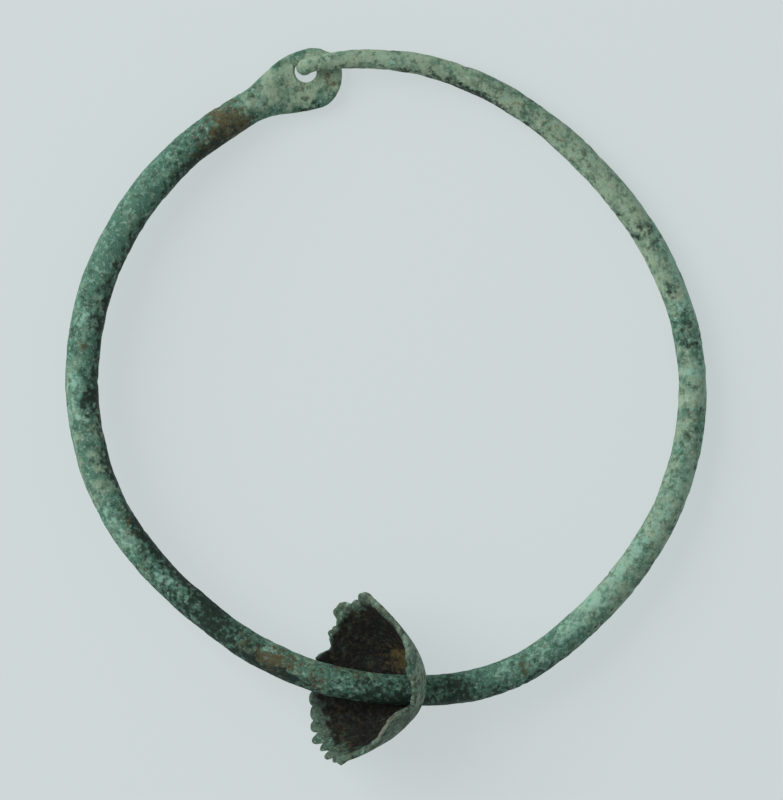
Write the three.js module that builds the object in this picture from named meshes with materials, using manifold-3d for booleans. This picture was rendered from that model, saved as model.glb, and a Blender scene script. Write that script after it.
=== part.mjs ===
// A corroded bronze hoop earring, lying on its side.
// One tapering wire makes the hoop: its thick end is hammered out into a flat eye, and its thin end
// is a hook that drops through the eye. A thin-walled cup with a toothed rim, one side of it broken
// away, is threaded on the wire through a hole in its bottom.
// Millimetres, +Z up. The earring lies on the plane Z = 0, with the clasp towards +Y.

import * as THREE from "three";
import { LoftGeometry } from "three/addons/geometries/LoftGeometry.js";
import { mergeVertices } from "three/addons/utils/BufferGeometryUtils.js";
import Module from "manifold-3d";

const wasm = await Module();
wasm.setup();

// Hoop centreline: a circle that has gone out of round. Angles along the hoop are in degrees,
// anticlockwise from +X, and run from the eye, past the cup, to the hook.
const HOOP_RADIUS = 26;
const OUT_OF_ROUND = [
  { at: 44, by: -1.05, over: 33 }, // pressed in at the upper right
  { at: -69, by: 0.8, over: 16.5 }, // bulged out beside the cup
  { at: -129.5, by: -0.87, over: 25.5 }, // pressed in at the lower left
  { at: 107.5, by: 1.74, over: 44 }, // sprung out towards the hook
  { at: -258, by: 0.66, over: 12 }, // bent out at the eye
];

// Radius of the round wire, at angles along the hoop.
const WIRE_RADII = [
  [-240, 1.43],
  [-180, 1.4],
  [-135, 1.24],
  [-65, 1.35],
  [0, 1.17],
  [50, 1.1],
  [75, 1.02],
  [98, 0.78],
  [105, 0.69],
];

// Eye: the flattened end, a paddle with a round tip and an off-centre hole.
const EYE_TIP_ANGLE = -261.6;
const EYE_TIP_ROUND = 2.6; // length of the round tip, from its end to the widest place
const EYE_HALF_WIDTH = 2.58;
const EYE_HALF_THICKNESS = 0.5;
const EYE_EDGE_ROUND = 0.5; // length over which the tip's edge thins
const EYE_SHOULDER = [-255, -243]; // angles over which the paddle narrows to the wire
const EYE_SQUARENESS = 3.2; // superellipse power of the paddle's section; 2 is round
const EYE_DROP = 0.75; // how far the paddle is bent down, to lie under the hook
const HOLE_RADIUS = 0.94;
const HOLE_FLARE = 0.12; // rounding of the hole's two edges
const HOLE_ANGLE = -255.15;
const HOLE_OFFSET = 27.33; // distance of the hole from the hoop's centre

// Hook: the wire rises over the eye and turns down through the hole.
const HOOK_RISE = 0.72;
const HOOK_RISE_FROM = 55;
const HOOK_RISE_TO = 96;
const HOOK_ANGLE = 104.85; // where the turned-down tip stands
const HOOK_BEND = 0.9; // radius of the turn, on the centreline
const HOOK_TIP_DROP = 0.95; // straight length below the turn

// Cup: a bowl of parabolic profile, on an axis that runs out of the hoop's plane.
const CUP_ANGLE = -84.1; // place of the cup's bottom, on the hoop
const CUP_SAG = 0.1; // how far the cup hangs outwards on the wire
const CUP_YAW = 9.5; // mouth direction, turned from -X towards +Y
const CUP_PITCH = 25.8; // mouth direction, raised out of the hoop's plane
const CUP_RADIUS = 7.2;
const CUP_DEPTH = 6.75;
const CUP_WALL = 0.55;
const CUP_CLEARANCE = 0.3; // gap round the wire in the hole
const TEETH = 32;
const TOOTH_PHASE = 5.6; // angle round the axis of a tooth's tip
const TOOTH_LENGTH = 0.09; // share of the depth
const TOOTH_FLARE = 0.25; // how far a tooth's tip leans out

// Edge of the cup: how much of the depth is left, at angles round its axis. The angle is 0 at the
// side of the rim farthest from the hoop's centre and 90 at the side that is uppermost.
const EDGE = [
  // broken away
  [6, 1],
  [16, 0.88],
  [26, 0.78],
  [46, 0.76],
  [60, 0.76],
  [66, 0.66],
  [70, 0.4],
  [85, 0.37],
  [92, 0.47],
  [106, 0.61],
  [120, 0.64],
  [131, 0.61],
  [142, 0.64],
  [152, 0.74],
  [159, 0.9],
  // two lumps, and teeth worn off beyond them
  [165, 1.01],
  [183, 1.01],
  [190, 0.96],
  [206, 0.96],
  [212, 1.01],
  [222, 0.99],
  [229, 0.93],
  [246, 0.9],
  [253, 0.94],
  [259, 1],
];

// Facets
const WIRE_SIDES = 14;
const JOIN_TAPER = 0.04; // how much the two lengths of the hoop thin where they run into each other
const WIRE_STEP = 3.2; // degrees
const EYE_STEPS = 20;
const BEND_STEPS = 6;
const COLUMNS_PER_TOOTH = 4;
const CUP_ROWS = 8;

// How the earring lies: turned about X and then Y until the cup's rim and the hoop touch the ground.
const LIE_TILT = -2.377;
const LIE_ROLL = 2.115;

const UP = new THREE.Vector3(0, 0, 1);
const radians = THREE.MathUtils.degToRad;
const smoothstep = THREE.MathUtils.smoothstep;

// Value at x on straight lines between [x, value] pairs.
function along(pairs, x) {
  const last = pairs.length - 1;
  if (x <= pairs[0][0]) return pairs[0][1];
  if (x >= pairs[last][0]) return pairs[last][1];
  const i = pairs.findIndex(([at]) => at > x);
  const [x0, y0] = pairs[i - 1];
  const [x1, y1] = pairs[i];
  return THREE.MathUtils.mapLinear(x, x0, x1, y0, y1);
}

function radial(angle) {
  return new THREE.Vector3(Math.cos(radians(angle)), Math.sin(radians(angle)), 0);
}

// Point of the hoop's centreline.
function hoopPoint(angle) {
  let radius = HOOP_RADIUS;
  for (const { at, by, over } of OUT_OF_ROUND) {
    radius += by * Math.exp(-(((angle - at) / over) ** 2));
  }
  const drop = EYE_DROP * (1 - smoothstep(angle, EYE_SHOULDER[0], EYE_SHOULDER[1] + 20));
  const rise = HOOK_RISE * smoothstep(angle, HOOK_RISE_FROM, HOOK_RISE_TO);
  return radial(angle)
    .multiplyScalar(radius)
    .setZ(rise - drop);
}

function hoopTangent(angle) {
  const step = 0.05;
  return hoopPoint(angle + step)
    .sub(hoopPoint(angle - step))
    .normalize();
}

// One closed section: a superellipse across the tangent, its width along the hoop's radius.
function section(centre, tangent, outward, halfWidth, halfThickness, power = 2) {
  const across = outward.clone().addScaledVector(tangent, -outward.dot(tangent)).normalize();
  const through = new THREE.Vector3().crossVectors(tangent, across);
  const bulge = (x) => Math.sign(x) * Math.abs(x) ** (2 / power);
  const points = [];
  for (let i = 0; i < WIRE_SIDES; i++) {
    const turn = ((i + 0.5) / WIRE_SIDES) * 2 * Math.PI;
    points.push(
      centre
        .clone()
        .addScaledVector(across, halfWidth * bulge(Math.cos(turn)))
        .addScaledVector(through, halfThickness * bulge(Math.sin(turn))),
    );
  }
  return points;
}

function wireSection(angle, extra = 0) {
  const radius = along(WIRE_RADII, angle) + extra;
  return section(hoopPoint(angle), hoopTangent(angle), radial(angle), radius, radius);
}

// Section of the paddle: round-tipped in plan, flat in thickness, easing into the round wire.
function eyeSection(angle) {
  const fromTip = radians(angle - EYE_TIP_ANGLE) * HOOP_RADIUS;
  const tip = Math.min(fromTip / EYE_TIP_ROUND, 1);
  const edge = Math.min(fromTip / EYE_EDGE_ROUND, 1);
  const narrowing = smoothstep(angle, ...EYE_SHOULDER);
  const radius = along(WIRE_RADII, angle);
  const halfWidth = THREE.MathUtils.lerp(EYE_HALF_WIDTH, radius, narrowing);
  const halfThickness = THREE.MathUtils.lerp(EYE_HALF_THICKNESS, radius, narrowing);
  return section(
    hoopPoint(angle),
    hoopTangent(angle),
    radial(angle),
    halfWidth * Math.sqrt(1 - (1 - tip) ** 2),
    halfThickness * Math.sqrt(1 - (1 - edge) ** 2),
    THREE.MathUtils.lerp(EYE_SQUARENESS, 2, narrowing),
  );
}

// Sections of the turn at the wire's end, from level to straight down, and of its blunt tip.
function hookSections() {
  const outward = radial(HOOK_ANGLE);
  const forward = new THREE.Vector3().crossVectors(UP, outward);
  const radius = along(WIRE_RADII, HOOK_ANGLE);
  const turnStart = hoopPoint(HOOK_ANGLE).addScaledVector(forward, -HOOK_BEND);
  const sections = [];
  for (let i = 0; i <= BEND_STEPS; i++) {
    const turn = ((i / BEND_STEPS) * Math.PI) / 2;
    const centre = turnStart
      .clone()
      .addScaledVector(forward, HOOK_BEND * Math.sin(turn))
      .addScaledVector(UP, -HOOK_BEND * (1 - Math.cos(turn)));
    const tangent = forward.clone().multiplyScalar(Math.cos(turn)).addScaledVector(UP, -Math.sin(turn));
    sections.push(section(centre, tangent, outward, radius, radius));
  }
  const turnEnd = turnStart.clone().addScaledVector(forward, HOOK_BEND).addScaledVector(UP, -HOOK_BEND);
  const down = UP.clone().negate();
  for (const [share, size] of [[0.6, 1], [0.88, 0.86], [1, 0.5]]) {
    const centre = turnEnd.clone().addScaledVector(UP, -HOOK_TIP_DROP * share);
    sections.push(section(centre, down, outward, radius * size, radius * size));
  }
  return sections;
}

function loft(sections) {
  return new LoftGeometry(sections, { capStart: true, capEnd: true });
}

function toSolid(geometry) {
  const bare = new THREE.BufferGeometry();
  bare.setAttribute("position", geometry.getAttribute("position"));
  bare.setIndex(geometry.getIndex());
  const merged = mergeVertices(bare, 1e-4);
  const mesh = new wasm.Mesh({
    numProp: 3,
    vertProperties: merged.getAttribute("position").array,
    triVerts: new Uint32Array(merged.getIndex().array),
  });
  return new wasm.Manifold(mesh);
}

function toGeometry(solid) {
  const { vertProperties, triVerts } = solid.getMesh();
  const geometry = new THREE.BufferGeometry();
  geometry.setAttribute("position", new THREE.BufferAttribute(vertProperties, 3));
  geometry.setIndex(new THREE.BufferAttribute(triVerts, 1));
  geometry.computeVertexNormals();
  return geometry;
}

// Cutter for the eye's hole: a round bar that flares where it meets the paddle's two faces.
function holeCutter() {
  const reach = 3;
  const straight = EYE_HALF_THICKNESS - HOLE_FLARE;
  const wide = HOLE_RADIUS + HOLE_FLARE;
  const profile = [
    new THREE.Vector2(0, -reach),
    new THREE.Vector2(wide, -reach),
    new THREE.Vector2(wide, -EYE_HALF_THICKNESS),
    new THREE.Vector2(HOLE_RADIUS, -straight),
    new THREE.Vector2(HOLE_RADIUS, straight),
    new THREE.Vector2(wide, EYE_HALF_THICKNESS),
    new THREE.Vector2(wide, reach),
    new THREE.Vector2(0, reach),
  ];
  const place = radial(HOLE_ANGLE).multiplyScalar(HOLE_OFFSET);
  return new THREE.LatheGeometry(profile, 24).rotateX(Math.PI / 2).translate(place.x, place.y, -EYE_DROP);
}

// The hoop is lofted in two lengths that run into each other at the cup, so that the hole is cut
// through the paddle and not through the hook that stands in it.
function makeHoop() {
  const eyeEnd = EYE_SHOULDER[1];
  const sections = [];
  for (let i = 0; i < EYE_STEPS; i++) {
    const share = (i + 0.12) / EYE_STEPS;
    sections.push(eyeSection(THREE.MathUtils.lerp(EYE_TIP_ANGLE, eyeEnd, share ** 1.5)));
  }
  const firstSteps = Math.round((CUP_ANGLE - eyeEnd) / WIRE_STEP);
  for (let i = 0; i <= firstSteps; i++) {
    const taper = i === firstSteps ? -JOIN_TAPER : 0;
    sections.push(wireSection(THREE.MathUtils.lerp(eyeEnd, CUP_ANGLE, i / firstSteps), taper));
  }
  const eyeLength = toSolid(loft(sections)).subtract(toSolid(holeCutter()));

  const bendAngle = HOOK_ANGLE - THREE.MathUtils.radToDeg(HOOK_BEND / HOOP_RADIUS) - 0.5 * WIRE_STEP;
  const lastSteps = Math.round((bendAngle - CUP_ANGLE) / WIRE_STEP);
  const hookSide = [wireSection(CUP_ANGLE - WIRE_STEP, -JOIN_TAPER)];
  for (let i = 0; i <= lastSteps; i++) {
    hookSide.push(wireSection(THREE.MathUtils.lerp(CUP_ANGLE, bendAngle, i / lastSteps)));
  }
  const hookLength = toSolid(loft([...hookSide, ...hookSections()]));
  return toGeometry(eyeLength.add(hookLength));
}

// Point of the cup's wall: share runs from the bottom to the edge, turn is the angle round the
// axis, and depth is 0 on the outside and CUP_WALL on the inside. The mouth faces +Z here. Rows
// below the edge keep to an even line under the teeth.
function cupPoint(share, turn, depth) {
  const left = along(EDGE, turn);
  const toothed = left === 1;
  const tooth = Math.abs(Math.cos((TEETH * radians(turn - TOOTH_PHASE)) / 2));
  const edge = toothed ? 1 - TOOTH_LENGTH * (1 - tooth) : left;
  const height = share < 1 ? share * (left - TOOTH_LENGTH) : edge;
  const lean = toothed ? TOOTH_FLARE * smoothstep(height, 1 - TOOTH_LENGTH, 1) : 0;
  const radius = CUP_RADIUS * Math.sqrt(height) + lean;
  const slope = CUP_RADIUS / (2 * CUP_DEPTH * Math.sqrt(height));
  const inward = depth / Math.hypot(1, slope);
  return radial(turn)
    .multiplyScalar(radius - inward)
    .setZ(height * CUP_DEPTH + inward * slope);
}

function cupRing(share, depth) {
  const columns = TEETH * COLUMNS_PER_TOOTH;
  const ring = [];
  for (let i = 0; i < columns; i++) ring.push(cupPoint(share, (i / columns) * 360, depth));
  return ring;
}

// The cup is one loft, up the outside to the edge, down the inside and back to the first ring, which
// leaves a small hole at the bottom. The wire's bore widens that hole.
function makeCup() {
  const shares = [];
  for (let i = 0; i < CUP_ROWS; i++) shares.push(((i + 0.4) / CUP_ROWS) ** 1.6);
  shares.push(1);
  const outside = shares.map((share) => cupRing(share, 0));
  const inside = shares.map((share) => cupRing(share, CUP_WALL)).reverse();
  const wall = new LoftGeometry([...outside, ...inside, outside[0]]);
  const mouth = new THREE.Vector3(
    -Math.cos(radians(CUP_PITCH)) * Math.cos(radians(CUP_YAW)),
    Math.cos(radians(CUP_PITCH)) * Math.sin(radians(CUP_YAW)),
    Math.sin(radians(CUP_PITCH)),
  );
  const across = new THREE.Vector3(-mouth.y, mouth.x, 0).normalize();
  const uppermost = new THREE.Vector3().crossVectors(mouth, across);
  const bottom = hoopPoint(CUP_ANGLE).addScaledVector(radial(CUP_ANGLE), CUP_SAG);
  const pose = new THREE.Matrix4().makeBasis(across, uppermost, mouth).setPosition(bottom);
  const bowl = toSolid(wall.applyMatrix4(pose));

  const bore = [];
  for (let i = -4; i <= 2; i++) bore.push(wireSection(CUP_ANGLE + i * WIRE_STEP, CUP_CLEARANCE));
  return toGeometry(bowl.subtract(toSolid(loft(bore))));
}

const bronze = {
  hoop: new THREE.MeshStandardMaterial({ color: 0x5f7d6b, roughness: 0.75, metalness: 0.25 }),
  cup: new THREE.MeshStandardMaterial({ color: 0x4a5f52, roughness: 0.85, metalness: 0.2 }),
};

const lying = new THREE.Group();
lying.rotation.set(radians(LIE_TILT), radians(LIE_ROLL), 0);
for (const [name, geometry] of [["hoop", makeHoop()], ["cup", makeCup()]]) {
  const mesh = new THREE.Mesh(geometry, bronze[name]);
  mesh.name = name;
  lying.add(mesh);
}

// The origin is on the ground, under the middle of the earring's box.
const earring = new THREE.Group();
earring.add(lying);
earring.updateMatrixWorld(true);
const box = new THREE.Box3().setFromObject(lying, true);
lying.position.set(-(box.min.x + box.max.x) / 2, -(box.min.y + box.max.y) / 2, -box.min.z);

export default earring;
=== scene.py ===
import itertools
import math

import bmesh
import bpy
import numpy as np
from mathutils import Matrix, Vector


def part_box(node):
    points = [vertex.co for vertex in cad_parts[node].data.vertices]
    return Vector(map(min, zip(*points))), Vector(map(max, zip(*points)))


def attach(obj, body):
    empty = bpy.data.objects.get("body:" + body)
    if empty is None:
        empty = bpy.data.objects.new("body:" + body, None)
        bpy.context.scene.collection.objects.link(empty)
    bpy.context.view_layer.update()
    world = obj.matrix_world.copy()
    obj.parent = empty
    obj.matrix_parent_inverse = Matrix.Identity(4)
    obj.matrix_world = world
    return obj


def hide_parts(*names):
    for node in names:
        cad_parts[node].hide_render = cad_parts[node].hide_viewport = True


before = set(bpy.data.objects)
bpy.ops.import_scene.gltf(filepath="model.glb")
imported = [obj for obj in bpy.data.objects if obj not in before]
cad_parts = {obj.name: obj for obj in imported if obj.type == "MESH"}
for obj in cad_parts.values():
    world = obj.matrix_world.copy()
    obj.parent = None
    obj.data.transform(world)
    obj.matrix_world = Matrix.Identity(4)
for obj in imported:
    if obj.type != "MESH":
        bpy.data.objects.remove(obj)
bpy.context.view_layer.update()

# Camera: it looks straight down on the lying earring, with the clasp at the top of the picture.
# The lens is long, so that the raised cup spreads little.
MM = 0.001
IMAGE_HEIGHT = 800
PIXEL = 0.0848 * MM  # one pixel of the picture, on the hoop
AIM = (0.45 * MM, 0.5 * MM, 3 * MM)  # middle of the picture, at the hoop's height
LENS = 500
SENSOR = 36

camera = bpy.data.objects.new("camera", bpy.data.cameras.new("camera"))
camera.data.lens = LENS
camera.data.sensor_width = SENSOR
camera.data.clip_start = 10 * MM
camera.location = (AIM[0], AIM[1], AIM[2] + IMAGE_HEIGHT * PIXEL * LENS / SENSOR)
bpy.context.scene.collection.objects.link(camera)
bpy.context.scene.camera = camera
bpy.context.scene.view_settings.view_transform = "Standard"


# Floor and light: a sheet of pale cool paper that glows a little, as on a light table, so that the
# earring casts hardly any shadow. The sky is even, with one large soft lamp at the upper left.
FLOOR_HALF = 1.5
FLOOR_SRGB = (110, 114, 112)
FLOOR_GLOW_SRGB = (184, 192, 193)
PAPER_ROUGHNESS = 0.9
SKY_COLOUR = (0.95, 0.98, 1.0, 1)
SKY_STRENGTH = 0.4
LAMP_PLACE = (-0.6, 0.3, 0.5)
LAMP_SIZE = 0.7
LAMP_POWER = 5.6


def colour(red, green, blue):
    """Linear colour of these sRGB values from 0 to 255, without the straight part near black."""
    return *(np.array([red, green, blue]) / 255) ** 2.2, 1


def new_material(name):
    """An empty node material with its Principled shader, as (material, shader)."""
    material = bpy.data.materials.new(name)
    material.use_nodes = True
    return material, material.node_tree.nodes["Principled BSDF"]


def new_piece(name, points, faces):
    """An object at the origin with a smooth-shaded mesh of these points and faces."""
    mesh = bpy.data.meshes.new(name)
    mesh.from_pydata(points, [], faces)
    mesh.shade_smooth()
    piece = bpy.data.objects.new(name, mesh)
    bpy.context.scene.collection.objects.link(piece)
    return piece


floor_corners = [(x * FLOOR_HALF, y * FLOOR_HALF, 0) for x, y in [(-1, -1), (1, -1), (1, 1), (-1, 1)]]
floor = new_piece("floor", floor_corners, [(0, 1, 2, 3)])
paper, paper_shader = new_material("pale_paper")
paper_shader.inputs["Base Color"].default_value = colour(*FLOOR_SRGB)
paper_shader.inputs["Roughness"].default_value = PAPER_ROUGHNESS
paper_shader.inputs["Emission Color"].default_value = colour(*FLOOR_GLOW_SRGB)
paper_shader.inputs["Emission Strength"].default_value = 1
floor.data.materials.append(paper)

sky = bpy.data.worlds.new("sky")
sky.use_nodes = True
sky.node_tree.nodes["Background"].inputs["Color"].default_value = SKY_COLOUR
sky.node_tree.nodes["Background"].inputs["Strength"].default_value = SKY_STRENGTH
bpy.context.scene.world = sky

lamp = bpy.data.objects.new("soft_lamp", bpy.data.lights.new("soft_lamp", "AREA"))
lamp.data.size = LAMP_SIZE
lamp.data.energy = LAMP_POWER
lamp.location = LAMP_PLACE
lamp.rotation_euler = (-lamp.location).to_track_quat("-Z", "Y").to_euler()
bpy.context.scene.collection.objects.link(lamp)


# Hoop: one bronze wire, thick at the eye and thin at the hook, bent round by hand and gone out of
# round. The thick end is hammered flat and pierced; the thin end lies over it and turns down
# through the hole. Angles run in degrees from the eye, past the cup, to the hook.
HOOP_RADIUS = 26 * MM
OUT_OF_ROUND = np.array([  # angle, bulge in mm, spread in degrees
    (44, -1.05, 33),
    (-69, 0.8, 16.5),
    (-129.5, -0.87, 25.5),
    (107.5, 1.74, 44),
    (-258, 0.66, 12),
])
WIRE_RADII = np.array([  # angle, radius in mm
    (-240, 1.43),
    (-180, 1.4),
    (-135, 1.24),
    (-65, 1.35),
    (0, 1.17),
    (50, 1.1),
    (75, 1.02),
    (98, 0.78),
    (105, 0.69),
])
EYE_TIP_ANGLE = -261.6
EYE_TIP_ROUND = 2.6 * MM
EYE_HALF_WIDTH = 2.58 * MM
EYE_HALF_THICKNESS = 0.5 * MM
EYE_EDGE_ROUND = 0.5 * MM
EYE_SHOULDER = (-255, -243)
EYE_SQUARENESS = 3.2
EYE_DROP = 0.75 * MM
EYE_DROP_SPAN = (-255, -223)
HOLE_RADIUS = 0.94 * MM
HOLE_FLARE = 0.16 * MM
HOLE_ANGLE = -255.15
HOLE_OFFSET = 27.33 * MM
HOOK_RISE = 0.72 * MM
HOOK_RISE_SPAN = (55, 96)
HOOK_ANGLE = 104.85
HOOK_BEND = 0.9 * MM
HOOK_TIP_DROP = 0.95 * MM
HOOK_TIP_START = 0.45  # share of the drop where the tip starts to round off
HOOK_TIP_TAPER = 0.99
LIE_TILT = math.radians(-2.377)
LIE_ROLL = math.radians(2.115)

HAMMERING = [(0.055, 2.6, 1), (0.025, 1.0, 2)]  # height in mm, cell in mm, seed
CRUST = [(0.02, 0.42, 3), (0.012, 0.22, 4)]
PIT_PLACES = [(1, 0.6, 5)]
PIT_DEPTH = 0.06
PIT_SLOPE = (0.45, 0.8)  # how low the noise is where a pit starts, and where it is deepest

WIRE_SIDES = 64
EYE_ROWS = 220
FIRST_ROW = 0.1  # of the eye, in steps from its tip
EYE_CROWDING = 1.5  # over 1, so that the rows lie closer towards the tip
ROW_GAP = 0.2  # degrees between the ring's last row and the hook's first
RING_ROWS = 900
BEND_ROWS = 50
TIP_ROWS = 24
BAR_REACH = 2.5  # half-length of the bar that cuts the hole, in half-thicknesses of the eye
BAR_ROWS = 81
BAR_SIDES = 96
CAP_REACH = 2 * MM  # a cap whose middle is this near the join is opened
WELD = 0.0005 * MM  # points closer than this become one
JOIN_ANGLE = -200  # where the pierced length is welded to the rest
UP = np.array([0, 0, 1.0])


def smoothstep(x, low, high):
    """Eases from 0 at low to 1 at high."""
    t = np.clip((x - low) / (high - low), 0, 1)
    return t * t * (3 - 2 * t)


def lattice_noise(points, cell, seed):
    """Smooth noise from -1 to 1: random values on a cubic lattice, eased between its corners."""
    size = 64
    values = np.random.default_rng(seed).uniform(-1, 1, (size, size, size))
    corner = np.floor(points / cell).astype(int)
    ease = smoothstep(points / cell - corner, 0, 1)
    total = np.zeros(points.shape[:-1])
    for step in itertools.product((0, 1), repeat=3):
        weight = np.prod(np.where(step, ease, 1 - ease), axis=-1)
        x, y, z = np.moveaxis((corner + step) % size, -1, 0)
        total += weight * values[x, y, z]
    return total


def layered_noise(points, layers):
    """Sum of noises, each given by its height, its cell in mm and its seed."""
    return sum(height * lattice_noise(points, cell * MM, seed) for height, cell, seed in layers)


def radial(angle):
    """Unit vectors from the hoop's centre, at these angles."""
    turn = np.radians(angle)
    return np.stack([np.cos(turn), np.sin(turn), np.zeros_like(turn)], axis=-1)


def centreline(angle):
    """Points of the hoop's centreline: a circle with smooth bulges and dents, bent down at the eye
    and up towards the hook."""
    at, bulge, spread = OUT_OF_ROUND.T
    radius = HOOP_RADIUS + MM * (bulge * np.exp(-(((angle[..., None] - at) / spread) ** 2))).sum(axis=-1)
    drop = EYE_DROP * (1 - smoothstep(angle, *EYE_DROP_SPAN))
    rise = HOOK_RISE * smoothstep(angle, *HOOK_RISE_SPAN)
    return radial(angle) * radius[..., None] + (rise - drop)[..., None] * UP


def wire_radius(angle):
    """Radius of the round wire, on straight lines between the listed places."""
    return MM * np.interp(angle, *WIRE_RADII.T)


def unit(vectors):
    """The vectors at length 1."""
    return vectors / np.linalg.norm(vectors, axis=-1, keepdims=True)


def sweep(centre, tangent, outward, half_width, half_thickness, power):
    """Grid of superellipses, one across each tangent: the width lies along the hoop's radius, and
    cosine and sine are raised to 2 / power, which squares the section off."""
    across = unit(outward - (outward * tangent).sum(axis=-1, keepdims=True) * tangent)
    through = np.cross(tangent, across)
    turn = np.arange(WIRE_SIDES) / WIRE_SIDES * 2 * np.pi
    bulge = 2 / power[:, None]
    wide = half_width[:, None] * np.sign(np.cos(turn)) * np.abs(np.cos(turn)) ** bulge
    thick = half_thickness[:, None] * np.sign(np.sin(turn)) * np.abs(np.sin(turn)) ** bulge
    return centre[:, None] + wide[..., None] * across[:, None] + thick[..., None] * through[:, None]


def ring_sections():
    """Sections from the eye's tip to the start of the hook's turn. The paddle is a flat superellipse
    with a round tip, and eases into the round wire at its shoulder."""
    eye_end = EYE_SHOULDER[1]
    turn_start = HOOK_ANGLE - math.degrees(HOOK_BEND / HOOP_RADIUS) - ROW_GAP
    eye_share = (np.arange(EYE_ROWS) + FIRST_ROW) / EYE_ROWS
    angle = np.concatenate([
        EYE_TIP_ANGLE + (eye_end - EYE_TIP_ANGLE) * eye_share**EYE_CROWDING,
        np.linspace(eye_end, turn_start, RING_ROWS),
    ])
    step = 0.05
    tangent = unit(centreline(angle + step) - centreline(angle - step))
    from_tip = np.radians(angle - EYE_TIP_ANGLE) * HOOP_RADIUS
    tip = np.sqrt(1 - (1 - np.clip(from_tip / EYE_TIP_ROUND, 0, 1)) ** 2)
    edge = np.sqrt(1 - (1 - np.clip(from_tip / EYE_EDGE_ROUND, 0, 1)) ** 2)
    narrowing = smoothstep(angle, *EYE_SHOULDER)
    radius = wire_radius(angle)
    half_width = tip * (EYE_HALF_WIDTH + (radius - EYE_HALF_WIDTH) * narrowing)
    half_thickness = edge * (EYE_HALF_THICKNESS + (radius - EYE_HALF_THICKNESS) * narrowing)
    power = EYE_SQUARENESS + (2 - EYE_SQUARENESS) * narrowing
    return centreline(angle), tangent, radial(angle), half_width, half_thickness, power


def hook_sections():
    """Sections of the quarter turn at the hook, from level to straight down, and of its round tip."""
    outward = radial(np.array(HOOK_ANGLE))
    forward = np.cross(UP, outward)
    turn = np.linspace(0, np.pi / 2, BEND_ROWS)[:, None]
    start = centreline(np.array(HOOK_ANGLE)) - HOOK_BEND * forward
    bend = start + HOOK_BEND * (np.sin(turn) * forward - (1 - np.cos(turn)) * UP)
    bend_tangent = np.cos(turn) * forward - np.sin(turn) * UP
    drop = np.sin(np.linspace(0, np.pi / 2, TIP_ROWS + 1)[1:])
    tip = bend[-1] - HOOK_TIP_DROP * drop[:, None] * UP
    radius = wire_radius(HOOK_ANGLE) * np.concatenate([
        np.ones(BEND_ROWS),
        np.sqrt(1 - HOOK_TIP_TAPER * smoothstep(drop, HOOK_TIP_START, 1) ** 2),
    ])
    centre = np.concatenate([bend, tip])
    tangent = np.concatenate([bend_tangent, np.broadcast_to(-UP, tip.shape)])
    return centre, tangent, np.broadcast_to(outward, centre.shape), radius, radius, np.full(len(centre), 2.0)


def grid_normals(grid):
    """Outward unit normals of a grid that is closed round its columns, from its central differences."""
    along = np.gradient(grid, axis=0)
    around = np.roll(grid, -1, axis=1) - np.roll(grid, 1, axis=1)
    return unit(np.cross(around, along))


def wire_relief(points):
    """How far the surface stands out: slow unevenness from the hammer, a fine crust, and pits where
    a middle-sized noise is lowest."""
    pits = PIT_DEPTH * smoothstep(-layered_noise(points, PIT_PLACES), *PIT_SLOPE)
    return MM * (layered_noise(points, HAMMERING + CRUST) - pits)


def tube_faces(rows, columns, capped):
    """Quads of a grid that is closed round its columns, with a many-sided cap at each capped end."""
    i, j = np.meshgrid(np.arange(rows - 1), np.arange(columns), indexing="ij")
    k = (j + 1) % columns
    row, next_row = i * columns, (i + 1) * columns
    faces = np.stack([row + j, row + k, next_row + k, next_row + j], axis=-1).reshape(-1, 4).tolist()
    first = list(range(columns))
    if capped[0]:
        faces.append(first[::-1])
    if capped[1]:
        faces.append([(rows - 1) * columns + corner for corner in first])
    return faces


def hole_bar():
    """A round bar as tall as the paddle is thick and more, that flares by a quarter circle where it
    meets the paddle's two faces."""
    height = np.linspace(-BAR_REACH, BAR_REACH, BAR_ROWS) * EYE_HALF_THICKNESS
    into = np.clip((np.abs(height) - EYE_HALF_THICKNESS) / HOLE_FLARE + 1, 0, 1)
    radius = HOLE_RADIUS + HOLE_FLARE * (1 - np.sqrt(1 - into**2))
    turn = np.arange(BAR_SIDES) / BAR_SIDES * 2 * np.pi
    bar = np.empty((len(height), len(turn), 3))
    bar[..., 0] = radius[:, None] * np.cos(turn)
    bar[..., 1] = radius[:, None] * np.sin(turn)
    bar[..., 2] = height[:, None] - EYE_DROP
    bar += HOLE_OFFSET * radial(np.array(HOLE_ANGLE))
    return new_piece("hole_bar", bar.reshape(-1, 3), tube_faces(*bar.shape[:2], (True, True)))


def pierce(piece, bar):
    """Cuts the bar out of the piece, and removes the bar."""
    cut = piece.modifiers.new("hole", "BOOLEAN")
    cut.operation = "DIFFERENCE"
    cut.solver = "EXACT"
    cut.object = bar
    pierced = bpy.data.meshes.new_from_object(piece.evaluated_get(bpy.context.evaluated_depsgraph_get()))
    piece.modifiers.clear()
    piece.data = pierced
    bpy.data.objects.remove(bar)


def mesh_points(mesh):
    """The mesh's vertices as an array of points."""
    flat = np.empty(3 * len(mesh.vertices))
    mesh.vertices.foreach_get("co", flat)
    return flat.reshape(-1, 3)


def set_points(mesh, points):
    """Moves the mesh's vertices to these points."""
    mesh.vertices.foreach_set("co", points.ravel())
    mesh.update()


def lie_down(points):
    """Turns points from the hoop's own plane to the way the earring lies: about Y, then about X."""
    cos_x, sin_x = math.cos(LIE_TILT), math.sin(LIE_TILT)
    cos_y, sin_y = math.cos(LIE_ROLL), math.sin(LIE_ROLL)
    about_y = np.array([(cos_y, 0, sin_y), (0, 1, 0), (-sin_y, 0, cos_y)])
    about_x = np.array([(1, 0, 0), (0, cos_x, -sin_x), (0, sin_x, cos_x)])
    return points @ (about_x @ about_y).T


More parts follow.
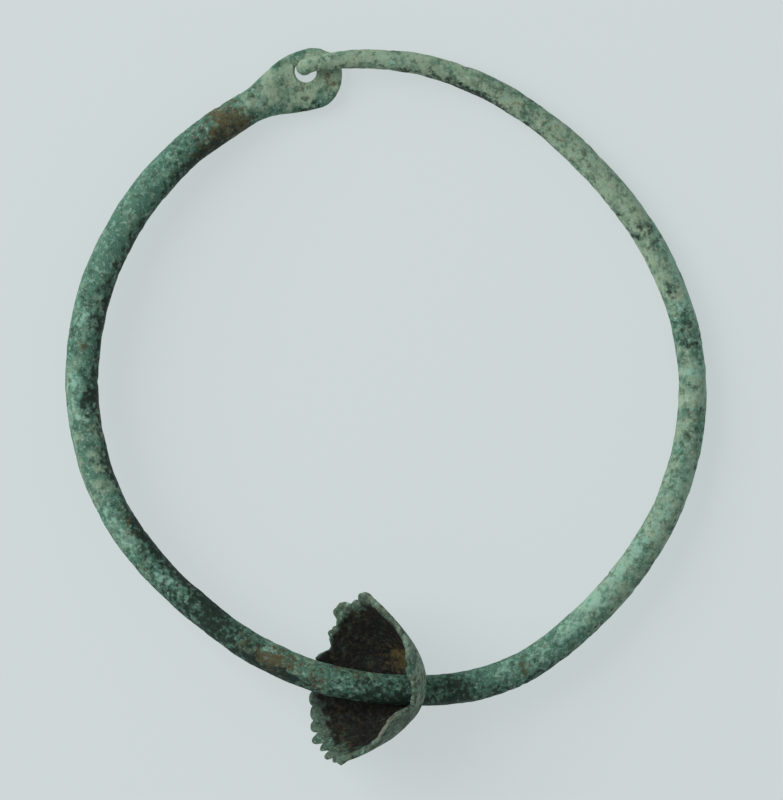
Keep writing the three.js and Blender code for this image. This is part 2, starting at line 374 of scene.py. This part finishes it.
smooth_hoop = sweep(*map(np.concatenate, zip(ring_sections(), hook_sections())))
hoop_grid = smooth_hoop + wire_relief(smooth_hoop)[..., None] * grid_normals(smooth_hoop)

# The earring's place comes from the hoop's own box, which the smooth wire fills.
low, high = (np.array(corner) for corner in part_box("hoop"))
smooth_lying = lie_down(smooth_hoop.reshape(-1, 3))
smooth_low, smooth_high = smooth_lying.min(axis=0), smooth_lying.max(axis=0)
PLACE = (low + high - smooth_low - smooth_high) / 2
PLACE[2] = low[2] - smooth_low[2]

# The pierced length and the rest share the row at JOIN_ANGLE, where they are welded.
turn_start = HOOK_ANGLE - math.degrees(HOOK_BEND / HOOP_RADIUS)
join_row = EYE_ROWS + int(RING_ROWS * (JOIN_ANGLE - EYE_SHOULDER[1]) / (turn_start - EYE_SHOULDER[1]))
eye_grid, rest_grid = hoop_grid[: join_row + 1], hoop_grid[join_row:]
eye = new_piece("eye", eye_grid.reshape(-1, 3), tube_faces(*eye_grid.shape[:2], (True, True)))
pierce(eye, hole_bar())
rest = new_piece("rest", rest_grid.reshape(-1, 3), tube_faces(*rest_grid.shape[:2], (False, True)))


def hoop_place(points, last_angle):
    """Each point's angle along the hoop, ending at last_angle, and its side: -1 at the wire's inner
    edge and 1 at its outer edge, seen from above."""
    angle = np.degrees(np.arctan2(points[:, 1], points[:, 0]))
    angle = np.where(angle > last_angle, angle - 360, angle)
    away = np.hypot(points[:, 0], points[:, 1]) - np.linalg.norm(centreline(angle)[:, :2], axis=1)
    return angle, away / wire_radius(angle)


def set_attribute(mesh, name, values):
    """Keeps one number for each vertex, for the material to read."""
    mesh.attributes.new(name, "FLOAT", "POINT").data.foreach_set("value", values)


TONES = np.array([  # angle, from 0 for pale sage to 1 for deep blue-green
    (-262, 0.1),
    (-250, 0.15),
    (-242, 0.7),
    (-230, 1),
    (-190, 0.9),
    (-165, 0.65),
    (-145, 0.8),
    (-122, 1.2),
    (-105, 0.7),
    (-88, 1.15),
    (-76, 1.1),
    (-62, 0.75),
    (-45, 0.45),
    (-20, 0.35),
    (5, 0.4),
    (25, 0.25),
    (45, 0.15),
    (65, 0.3),
    (85, 0.25),
    (105, 0.2),
])
# Patches: angle, side, half-length in degrees, half-width as a share of the radius, strength.
TEAL_PATCHES = np.array([
    (-251, 2, 12, 0.6, 0.9),
    (-248, -1.6, 7, 0.6, 0.7),
    (-260, -1.6, 5, 0.7, 0.6),
    (10, -0.3, 5, 1.2, 0.5),
    (-60, 0, 10, 1.2, 0.3),
    (-10, 0.5, 5, 0.9, 0.2),
])
# Dark patina spots, and long thin bands of painted shade along the edges turned from the lamp.
DARK_PATINA_AND_SHADE_PATCHES = np.array([
    # Painted shade along the inner edge on the left.
    (-195, -1.0, 42, 0.45, 0.85),
    (-176, -0.1, 5, 0.5, 0.5),
    (-192, -0.2, 6, 0.4, 0.4),
    (-135, 0.2, 12, 1.2, 0.25),
    (-88, 0.3, 7, 1.2, 0.25),
    (-146, -1.0, 9, 0.7, 0.9),
    (-136, -1.1, 10, 0.5, 0.8),
    (-163, -0.7, 3.5, 0.5, 0.6),
    (-177, -0.2, 2, 0.4, 0.8),
    (-195, 0.3, 1, 0.3, 0.6),
    (-189, 0.65, 1, 0.3, 0.6),
    (-186, 0.6, 0.8, 0.3, 0.6),
    # Painted shade along the eye's inner edge.
    (-232, -0.9, 8, 0.45, 0.55),
    (-131.5, -0.2, 1.5, 1, 0.6),
    (-127, 0, 2.4, 1.4, 1),
    (-122, 0.2, 3, 1.2, 0.6),
    (-112, 0.9, 7, 0.5, 0.8),
    (-117, -0.3, 2, 0.8, 0.5),
    (-77.5, 0.2, 3, 1.2, 0.95),
    (-71, 0.4, 4, 0.8, 0.4),
    # Painted shade along the outer edge at the lower right.
    (-60, 1.1, 18, 0.35, 0.6),
    (-30, 1.15, 25, 0.25, 0.5),
    (31, -0.35, 2, 0.8, 0.5),
    (28.5, 0.5, 2, 0.6, 0.4),
    (17.8, -0.5, 1.5, 0.5, 0.7),
    (10.9, 0, 2.5, 1.2, 0.5),
    (6.5, -0.3, 2, 0.8, 0.5),
    (7.4, 0.6, 0.6, 0.3, 0.8),
    (-5, 0.8, 0.8, 0.4, 0.7),
    (-10, 0.4, 3, 0.7, 0.35),
    # Painted shade along the inner edge at the top.
    (72, -1.1, 22, 0.5, 0.65),
    (-232, 0, 9, 1.5, 0.35),
    (-136, 0.8, 12, 0.8, 0.35),
    (-93, 0.2, 9, 1.5, 0.55),
    (-110, 1.0, 14, 0.6, 0.4),
    # Painted shade under the hook, and along the inner edge at the upper right and top.
    (98, -1.0, 6, 0.35, 0.3),
    (38, -1.1, 12, 0.4, 0.35),
    (76, -0.9, 16, 0.4, 0.3),
    (-252, -1.8, 9, 0.35, 0.7),
    (-86, 0.9, 6, 0.4, 0.7),
    (-84, -0.4, 3, 0.5, 0.5),
])
# Pale patina spots, and long bands of painted light on the sides that face the lamp.
PALE_PATINA_AND_LIGHT_PATCHES = np.array([
    (-192, 0.25, 1.6, 0.4, 0.8),
    (-180, 0.4, 2.5, 0.4, 0.7),
    (-174, 0.5, 1.5, 0.4, 0.8),
    (-190, -0.1, 0.5, 0.2, 0.9),
    (-173, 0, 0.5, 0.2, 0.9),
    # Painted light along the outer edge on the left, which faces the lamp.
    (-200, 0.8, 30, 0.3, 0.35),
    (-155, 0.6, 2.5, 0.5, 0.8),
    (-149, 0.4, 3, 0.5, 0.8),
    (-138, 0.2, 3.5, 0.5, 0.8),
    (-114, -0.6, 2, 0.4, 0.8),
    (-98, 0.2, 2.5, 0.6, 0.55),
    (-90, 0.4, 1.2, 0.5, 0.6),
    (-68, -0.3, 3, 0.5, 0.6),
    (-60.7, 0, 2, 0.6, 0.6),
    (-38, -0.6, 10, 0.5, 0.5),
    (-53.8, -0.3, 4, 0.7, 0.5),
    (-47, -0.7, 2, 0.4, 0.8),
    (-45.7, 0.2, 1.5, 0.5, 0.6),
    (14.8, 0, 1.5, 0.6, 0.8),
    (2.3, 0, 1.5, 0.6, 0.8),
    (90, 0, 2, 0.6, 0.7),
    (48, 0.2, 3, 0.6, 0.4),
    # Painted light along the outer edge at the right.
    (18, 0.9, 30, 0.5, 0.9),
    (-42, -0.2, 20, 0.9, 0.3),
    (-20, 0.2, 11, 1, 0.45),
])
BROWN_PATCHES = np.array([
    (-238, 0, 4.5, 1.6, 1),
    (-233, -0.7, 8, 0.7, 0.8),
    (-118, 0.2, 5, 1.2, 0.5),
    (-97, -0.8, 5, 0.4, 0.7),
    (-203.5, -0.8, 0.7, 0.25, 1),
    (-187, 0.3, 0.8, 0.3, 0.8),
    (-191.6, -0.7, 0.8, 0.3, 0.8),
    (-184, -0.8, 0.8, 0.3, 0.8),
    (-173, -0.9, 1, 0.3, 0.8),
    (-151, -0.3, 2.5, 0.5, 0.7),
    (-111.5, 0.1, 4.5, 1, 1),
    (-104, 0.2, 2, 0.8, 0.7),
    (-65, 0, 1.5, 0.8, 0.5),
    (-254.3, -0.6, 0.9, 0.5, 0.6),
    (-259.5, -0.3, 1.5, 0.9, 0.5),
    (-250, 0.2, 3, 0.7, 0.35),
    (-20, 0, 25, 0.6, 0.25),
    (60, 0, 25, 0.6, 0.3),
])
RAGGED_ALONG = [(1.0, 0.8, 31), (0.6, 0.35, 32)]  # push in degrees, cell in mm, seed
RAGGED_ACROSS = [(0.35, 0.7, 33), (0.15, 0.3, 34)]  # push as a share of the radius, cell in mm, seed


def patch_sum(points, angle, side, patches):
    """Sum of bell-shaped patches at each place, up to 1. Noise pushes the places about, so that the
    patches have ragged outlines."""
    at, across, length, width, strength = patches.T
    angle = angle + layered_noise(points, RAGGED_ALONG)
    side = side + layered_noise(points, RAGGED_ACROSS)
    along = ((angle[:, None] - at) / length) ** 2
    aside = ((side[:, None] - across) / width) ** 2
    return np.minimum((strength * np.exp(-along - aside)).sum(axis=1), 1)


for length, last_angle in [(eye, JOIN_ANGLE + 20), (rest, HOOK_ANGLE + 5)]:
    points = mesh_points(length.data)
    angle, side = hoop_place(points, last_angle)
    teal = patch_sum(points, angle, side, TEAL_PATCHES)
    set_attribute(length.data, "tone", np.interp(angle, *TONES.T) + teal)
    # The dark number carries painted shade along the edges turned from the lamp as well as dark patina; the
    # pale number carries painted light on the lit edges as well as pale patina.
    set_attribute(length.data, "dark", patch_sum(points, angle, side, DARK_PATINA_AND_SHADE_PATCHES))
    set_attribute(length.data, "pale", patch_sum(points, angle, side, PALE_PATINA_AND_LIGHT_PATCHES))
    set_attribute(length.data, "brown", patch_sum(points, angle, side, BROWN_PATCHES))

welded = bmesh.new()
welded.from_mesh(eye.data)
join_point = centreline(np.array(float(JOIN_ANGLE)))
caps = [face for face in welded.faces if len(face.verts) == WIRE_SIDES]
bmesh.ops.delete(
    welded,
    geom=[cap for cap in caps if np.linalg.norm(np.array(cap.calc_center_median()) - join_point) < CAP_REACH],
    context="FACES_ONLY",
)
welded.from_mesh(rest.data)
bmesh.ops.remove_doubles(welded, verts=welded.verts, dist=WELD)
hoop = new_piece("corroded_hoop", [], [])
welded.to_mesh(hoop.data)
welded.free()
bpy.data.objects.remove(eye)
bpy.data.objects.remove(rest)
hoop.data.shade_smooth()
set_points(hoop.data, lie_down(mesh_points(hoop.data)) + PLACE)

# TURQUOISE, MOSS and DEEP_GREEN are patina colours, and also serve as painted light and painted shade.
SAGE = colour(146, 168, 141)
BLUE_GREEN = colour(75, 116, 98)
MOSS = colour(53, 79, 64)
DEEP_GREEN = colour(29, 43, 37)
TURQUOISE = colour(142, 184, 163)
UMBER = colour(84, 74, 46)
CHALK = colour(200, 210, 196)
NOISE_ROUGHNESS = 0.62
NOISE_RANGE = (0.3, 0.7)  # most of the raw noise lies between these
ROUGHNESS = (0.6, 0.9)
SHEEN = 0.35
WIRE_GRAIN = 5000  # waves in a metre
GRAIN_STRENGTH = 0.5
GRAIN_HEIGHT = 0.06 * MM


def ramp(tree, value, low, high, start=0, end=1):
    """Eases from start, where the value is low, to end, where it is high."""
    mapper = tree.nodes.new("ShaderNodeMapRange")
    mapper.interpolation_type = "SMOOTHSTEP"
    for name, number in [("From Min", low), ("From Max", high), ("To Min", start), ("To Max", end)]:
        mapper.inputs[name].default_value = number
    tree.links.new(value, mapper.inputs["Value"])
    return mapper.outputs["Result"]


def noise(tree, scale, detail, seed):
    """Noise from 0 to 1 in the piece's own coordinates, with this many waves in a metre, stretched so
    that it reaches both ends."""
    place = tree.nodes.new("ShaderNodeTexCoord")
    texture = tree.nodes.new("ShaderNodeTexNoise")
    texture.noise_dimensions = "4D"
    texture.inputs["W"].default_value = seed
    texture.inputs["Scale"].default_value = scale
    texture.inputs["Detail"].default_value = detail
    texture.inputs["Roughness"].default_value = NOISE_ROUGHNESS
    tree.links.new(place.outputs["Object"], texture.inputs["Vector"])
    return ramp(tree, texture.outputs["Fac"], *NOISE_RANGE)


def attribute(tree, name):
    """A number kept for each vertex."""
    reader = tree.nodes.new("ShaderNodeAttribute")
    reader.attribute_name = name
    return reader.outputs["Fac"]


def total(tree, first, second):
    """The sum of two values."""
    adder = tree.nodes.new("ShaderNodeMath")
    tree.links.new(first, adder.inputs[0])
    tree.links.new(second, adder.inputs[1])
    return adder.outputs["Value"]


def coat(tree, factor, under, over):
    """The over colour on the under colour, where the factor is 1. Each is a colour or a socket."""
    mixer = tree.nodes.new("ShaderNodeMix")
    mixer.data_type = "RGBA"
    tree.links.new(factor, mixer.inputs["Factor"])
    for socket, layer in [(mixer.inputs[6], under), (mixer.inputs[7], over)]:
        if isinstance(layer, tuple):
            socket.default_value = layer
        else:
            tree.links.new(layer, socket)
    return mixer.outputs[2]


def lay_coats(tree, base, coats):
    """Lays coats on the base, one after another. Each covers the places where its noise, with the
    number kept for each vertex if the coat names one, adds up to enough."""
    for name, waves, detail, seed, none_at, full_at, most, over in coats:
        amount = noise(tree, waves, detail, seed)
        if name:
            amount = total(tree, attribute(tree, name), amount)
        base = coat(tree, ramp(tree, amount, none_at, full_at, 0, most), base, over)
    return base


def finish_surface(tree, shader, base, bump_scale):
    """Sets the base colour, an uneven dull roughness and a fine bumpy grain."""
    tree.links.new(base, shader.inputs["Base Color"])
    tree.links.new(ramp(tree, noise(tree, 900, 4, 8), 0, 1, *ROUGHNESS), shader.inputs["Roughness"])
    shader.inputs["Specular IOR Level"].default_value = SHEEN
    bump = tree.nodes.new("ShaderNodeBump")
    bump.inputs["Strength"].default_value = GRAIN_STRENGTH
    bump.inputs["Distance"].default_value = GRAIN_HEIGHT
    tree.links.new(noise(tree, bump_scale, 5, 9), bump.inputs["Height"])
    tree.links.new(bump.outputs["Normal"], shader.inputs["Normal"])


# Coats: vertex number, noise waves in a metre, detail, seed, sum with none, sum in full, most, colour.
WIRE_COATS = [
    ("tone", 800, 6, 1, 0.45, 1.45, 1, BLUE_GREEN),
    (None, 1500, 5, 2, 0.5, 1, 0.75, MOSS),
    (None, 2400, 4, 7, 0.62, 1, 0.6, TURQUOISE),
    (None, 4600, 2, 6, 0.86, 1, 0.4, CHALK),
    ("brown", 2000, 4, 3, 0.75, 1.5, 0.9, UMBER),
    # These two coats paint light and shade on the wire's edges, as well as pale and dark patina.
    ("pale", 2200, 4, 4, 0.72, 1.6, 0.9, TURQUOISE),
    ("dark", 2200, 4, 5, 0.68, 1.5, 0.95, DEEP_GREEN),
]

bronze, shader = new_material("patinated_wire")
tree = bronze.node_tree
base = lay_coats(tree, SAGE, WIRE_COATS)
finish_surface(tree, shader, base, WIRE_GRAIN)
hoop.data.materials.append(bronze)
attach(hoop, "root")
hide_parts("hoop")


# Cup: a thin bronze bowl hammered to a parabola, with its rim cut into teeth. It is threaded on the
# wire through a hole in its bottom, and the wall that lies uppermost is broken away.
CUP_ANGLE = -84.1
CUP_SAG = 0.1 * MM
CUP_YAW = math.radians(9.5)
CUP_PITCH = math.radians(25.8)
CUP_RADIUS = 7.2 * MM
CUP_DEPTH = 6.75 * MM
CUP_WALL = 0.55 * MM
CUP_GAP = 0.06 * MM
TEETH = 32
TOOTH_PHASE = 5.6
TOOTH_LENGTH = 0.09
TOOTH_FLARE = 0.25 * MM
TOOTH_UNEVENNESS = (0.8, 1.3)
LOBE_POWERS = (0.6, 1.4)  # exponents of a blunt and of a sharp outline
BLUNT_LENGTH = 0.28  # of a blunt tooth, as a share of a sharp one
BLUNT_FOOT = 0.055  # how much higher blunt teeth stand, as a share of the depth
EDGE = np.array([  # angle round the axis, share of the depth that is left
    (6, 1),
    (16, 0.88),
    (26, 0.78),
    (46, 0.76),
    (60, 0.76),
    (66, 0.66),
    (70, 0.4),
    (85, 0.37),
    (92, 0.47),
    (106, 0.61),
    (120, 0.64),
    (131, 0.61),
    (142, 0.64),
    (152, 0.74),
    (159, 0.9),
    (165, 1.01),
    (183, 1.01),
    (190, 0.96),
    (206, 0.96),
    (212, 1.01),
    (222, 0.99),
    (229, 0.93),
    (246, 0.9),
    (253, 0.94),
    (259, 1),
])
GREEN_BAND = np.array([  # angle, share of the depth that is green inside, along the rim
    (0, 0.2),
    (30, 0.14),
    (60, 0.04),
    (160, 0.04),
    (175, 0.1),
    (215, 0.1),
    (232, 0.03),
    (270, 0.02),
    (290, 0.1),
    (320, 0.2),
    (360, 0.2),
])
RUST_PLACES = [  # angle, height share, half-length in degrees, half-height as a share, strength
    (205, 0.18, 34, 0.17, 1),
    (330, 0.72, 40, 0.12, 0.4),
    (200, 0.78, 20, 0.1, 0.35),
]
SHARP_TEETH = (300, 330)  # angles over which the teeth go from blunt to sharp
LUMPS_FADE = (0.8, 0.95)  # height shares over which the rim's lumps set in
INSIDE_DARK_FADE = (0.5, 1)  # shares of the wall's thickness over which the near-black inside sets in
BAND_FADE = (0.2, 2)  # widths of the green band below the rim, over which the near-black inside sets in
BREAK_FADE = (0.1, 0.3)  # shares of the wall's thickness over which the pale fracture sets in
BREAK_HEIGHT = (0.04, 0.2)  # height shares below the edge, over which it ends
PALE_BREAK_START = (15, 45)  # angles over which it sets in
PALE_BREAK_END = (64, 72)  # angles over which it ends
SHADED_WALL = (55, 85)  # angles over which the painted shade on the lower outside wall fades out
# how strongly the lower outside wall is painted in shade
LOWER_WALL_SHADE = 0.8
JAGS = [(0.03, 0.12, 12), (0.015, 0.045, 13)]  # height as a share of the depth, cell, seed
PITTED = [(0.03, 0.9, 21), (0.015, 0.3, 22)]  # height in mm, cell in mm, seed
GRAINY = [(0.05, 0.6, 23), (0.03, 0.25, 24)]
LUMPY = [(0.1, 0.8, 25)]
COLUMNS_PER_TOOTH = 14
WALL_ROWS = 64
ROW_SPREAD = 0.8  # under 1, so that the rows lie closer towards the rim
HOLE_SEARCH = (0.0005, 0.2)  # height shares between which the hole's edge lies
HOLE_STEPS = 400
RIM_ROWS = 7


def cup_edge(turn):
    """Share of the depth that is left at each angle: teeth of uneven length on the whole stretch of the
    rim, blunt lumps on its far side and sharper towards the bottom, and a jagged line on the broken one."""
    left = np.interp(turn, *EDGE.T)
    number = np.floor((turn - TOOTH_PHASE) / 360 * TEETH + 0.5).astype(int) % TEETH
    length = TOOTH_LENGTH * np.random.default_rng(11).uniform(*TOOTH_UNEVENNESS, TEETH)[number]
    sharp = smoothstep(turn, *SHARP_TEETH)
    wave = np.abs(np.cos(np.radians(TEETH * (turn - TOOTH_PHASE) / 2)))
    lobe = wave ** np.interp(sharp, (0, 1), LOBE_POWERS)
    blunt = BLUNT_LENGTH * length * lobe + BLUNT_FOOT
    toothed = 1 - TOOTH_LENGTH + blunt + (length * lobe - blunt) * sharp
    around = np.stack([np.cos(np.radians(turn)), np.sin(np.radians(turn)), 0 * turn], axis=-1)
    jagged = layered_noise(around * MM, JAGS)
    return np.where(left == 1, toothed, left + jagged)


def cup_wall(share, turn, depth):
    """Point of the wall, with the mouth facing +Z: the outside is a parabola of revolution, whose
    radius grows with the square root of the height share, and depth goes in along its normal."""
    lean = TOOTH_FLARE * smoothstep(share, 1 - TOOTH_LENGTH, 1)
    radius = CUP_RADIUS * np.sqrt(share) + lean
    slope = CUP_RADIUS / (2 * CUP_DEPTH * np.sqrt(share))
    inward = depth / np.hypot(1, slope)
    reach = radius - inward
    height = share * CUP_DEPTH + inward * slope
    return np.stack(np.broadcast_arrays(reach * np.cos(turn), reach * np.sin(turn), height), axis=-1)


mouth = np.array([
    -math.cos(CUP_PITCH) * math.cos(CUP_YAW),
    math.cos(CUP_PITCH) * math.sin(CUP_YAW),
    math.sin(CUP_PITCH),
])
outermost = unit(np.array([-mouth[1], mouth[0], 0]))
CUP_AXES = np.stack([outermost, np.cross(mouth, outermost), mouth])
cup_angle = np.array(CUP_ANGLE)
CUP_BOTTOM = centreline(cup_angle) + CUP_SAG * radial(cup_angle)


def hole_share(turn, depth):
    """Height share where the wall, at this depth in it, comes clear of the wire: the first of many
    small steps up the wall that is farther from the wire's axis than its radius and a gap."""
    steps = np.linspace(*HOLE_SEARCH, HOLE_STEPS)[:, None]
    place = cup_wall(steps, turn, depth) @ CUP_AXES + CUP_BOTTOM
    wire_angle = np.degrees(np.arctan2(place[..., 1], place[..., 0]))
    clear = np.linalg.norm(place - centreline(wire_angle), axis=-1) > wire_radius(CUP_ANGLE) + CUP_GAP
    return steps[np.argmax(clear, axis=0), 0]


cup_turn = np.arange(TEETH * COLUMNS_PER_TOOTH) / (TEETH * COLUMNS_PER_TOOTH) * 360
up_wall = np.linspace(0, 1, WALL_ROWS) ** ROW_SPREAD
over_rim = np.linspace(0, 1, RIM_ROWS + 2)[1:-1]
rise = np.concatenate([up_wall, np.ones(RIM_ROWS), up_wall[::-1], [0]])
depth_share = np.concatenate([np.zeros(WALL_ROWS), over_rim, np.ones(WALL_ROWS), [0]])
turn = np.radians(cup_turn)
hole_outside, hole_inside = hole_share(turn, 0), hole_share(turn, CUP_WALL)
foot = hole_outside + (hole_inside - hole_outside) * depth_share[:, None]
rounding = CUP_WALL / 2 / CUP_DEPTH * np.sqrt(1 - (2 * depth_share - 1) ** 2)
edge = cup_edge(cup_turn) + rounding[:, None] - rounding.max()
share = foot + (edge - foot) * rise[:, None]
cup_grid = cup_wall(share, turn, CUP_WALL * depth_share[:, None])


def cup_relief(points, inside, at_rim):
    """How far the surface stands out: small pits outside, a coarser grain inside, lumps at the rim."""
    outside = layered_noise(points, PITTED)
    grain = layered_noise(points, GRAINY)
    return MM * (outside + (grain - outside) * inside + at_rim * layered_noise(points, LUMPY))


cup_normals = grid_normals(cup_grid)
at_rim = smoothstep(share, *LUMPS_FADE)
cup_grid = cup_grid + cup_relief(cup_grid, depth_share[:, None], at_rim)[..., None] * cup_normals
cup_points = lie_down(cup_grid.reshape(-1, 3) @ CUP_AXES + CUP_BOTTOM) + PLACE
cup = new_piece("broken_cup", cup_points, tube_faces(*cup_grid.shape[:2], (False, False)))

# Patina places and painted shade: the inside is dark up to the teeth, rust lies low on the wall beside the
# wire, the break is pale along its lower half, and the inner surface and lower outside wall are painted in
# shade.
turns = np.broadcast_to(cup_turn, share.shape)
depths = np.broadcast_to(depth_share[:, None], share.shape)
below_edge = edge - share
band = np.interp(cup_turn, *GREEN_BAND.T)
below_teeth = np.interp(cup_turn, *EDGE.T) - share
inside = smoothstep(depths, *INSIDE_DARK_FADE) * smoothstep(below_teeth / band, *BAND_FADE)
rust = sum(
    strength * np.exp(-(((turns - at) / spread) ** 2) - ((share - height) / depth) ** 2)
    for at, height, spread, depth, strength in RUST_PLACES
)
on_break = smoothstep(turns, *PALE_BREAK_START) * (1 - smoothstep(turns, *PALE_BREAK_END))
fracture = on_break * smoothstep(depths, *BREAK_FADE) * (1 - smoothstep(below_edge, *BREAK_HEIGHT))
# Painted shade on the whole inner surface and on the lower outside wall, which is turned from the lamp.
shade = np.maximum(depths, LOWER_WALL_SHADE * (1 - smoothstep(turns, *SHADED_WALL)))
for name, values in [("shade", shade), ("inside", inside), ("rust", rust), ("fracture", fracture)]:
    set_attribute(cup.data, name, values.ravel())

cup_weld = bmesh.new()
cup_weld.from_mesh(cup.data)
bmesh.ops.remove_doubles(cup_weld, verts=cup_weld.verts, dist=WELD)
cup_weld.to_mesh(cup.data)
cup_weld.free()
cup.data.shade_smooth()

CUP_GREEN = colour(128, 148, 128)
CUP_TEAL = colour(72, 108, 92)
# The inside of the cup below the green band is near black.
NEAR_BLACK_INSIDE = colour(17, 16, 11)
RUST = colour(84, 72, 40)
FRACTURE = colour(116, 116, 102)
CUP_GRAIN = 4000  # waves in a metre

CUP_FIRST_COATS = [
    (None, 700, 5, 11, 0.4, 1, 1, CUP_TEAL),
    (None, 2000, 5, 18, 0.55, 1, 0.6, MOSS),
    (None, 4600, 2, 17, 0.84, 1, 0.5, CHALK),
]
CUP_LAST_COATS = [
    (None, 3000, 4, 19, 0.7, 1, 0.6, TURQUOISE),
    (None, 1500, 5, 20, 0.6, 1, 0.6, UMBER),
]
INSIDE_DARK_COATS = [
    (None, 2400, 5, 12, 0.55, 1, 0.35, UMBER),
    ("rust", 2800, 5, 13, 0.8, 1.5, 0.9, RUST),
]
BREAK_COATS = [
    ("fracture", 2800, 5, 15, 0.9, 1.6, 0.85, FRACTURE),
    (None, 2600, 5, 16, 0.55, 1, 0.8, DEEP_GREEN),
]

cup_bronze, shader = new_material("patinated_cup")
tree = cup_bronze.node_tree
outside = lay_coats(tree, CUP_GREEN, CUP_FIRST_COATS)
# Painted shade: the moss colour where the shade number is high.
outside = coat(tree, ramp(tree, attribute(tree, "shade"), 0, 1, 0, 0.75), outside, MOSS)
outside = lay_coats(tree, outside, CUP_LAST_COATS)
inside_dark = lay_coats(tree, NEAR_BLACK_INSIDE, INSIDE_DARK_COATS)
base = lay_coats(tree, outside, [("inside", 1200, 5, 14, 0.4, 1.3, 1, inside_dark)])
base = lay_coats(tree, base, BREAK_COATS)
finish_surface(tree, shader, base, CUP_GRAIN)
cup.data.materials.append(cup_bronze)
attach(cup, "root")
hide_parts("cup")
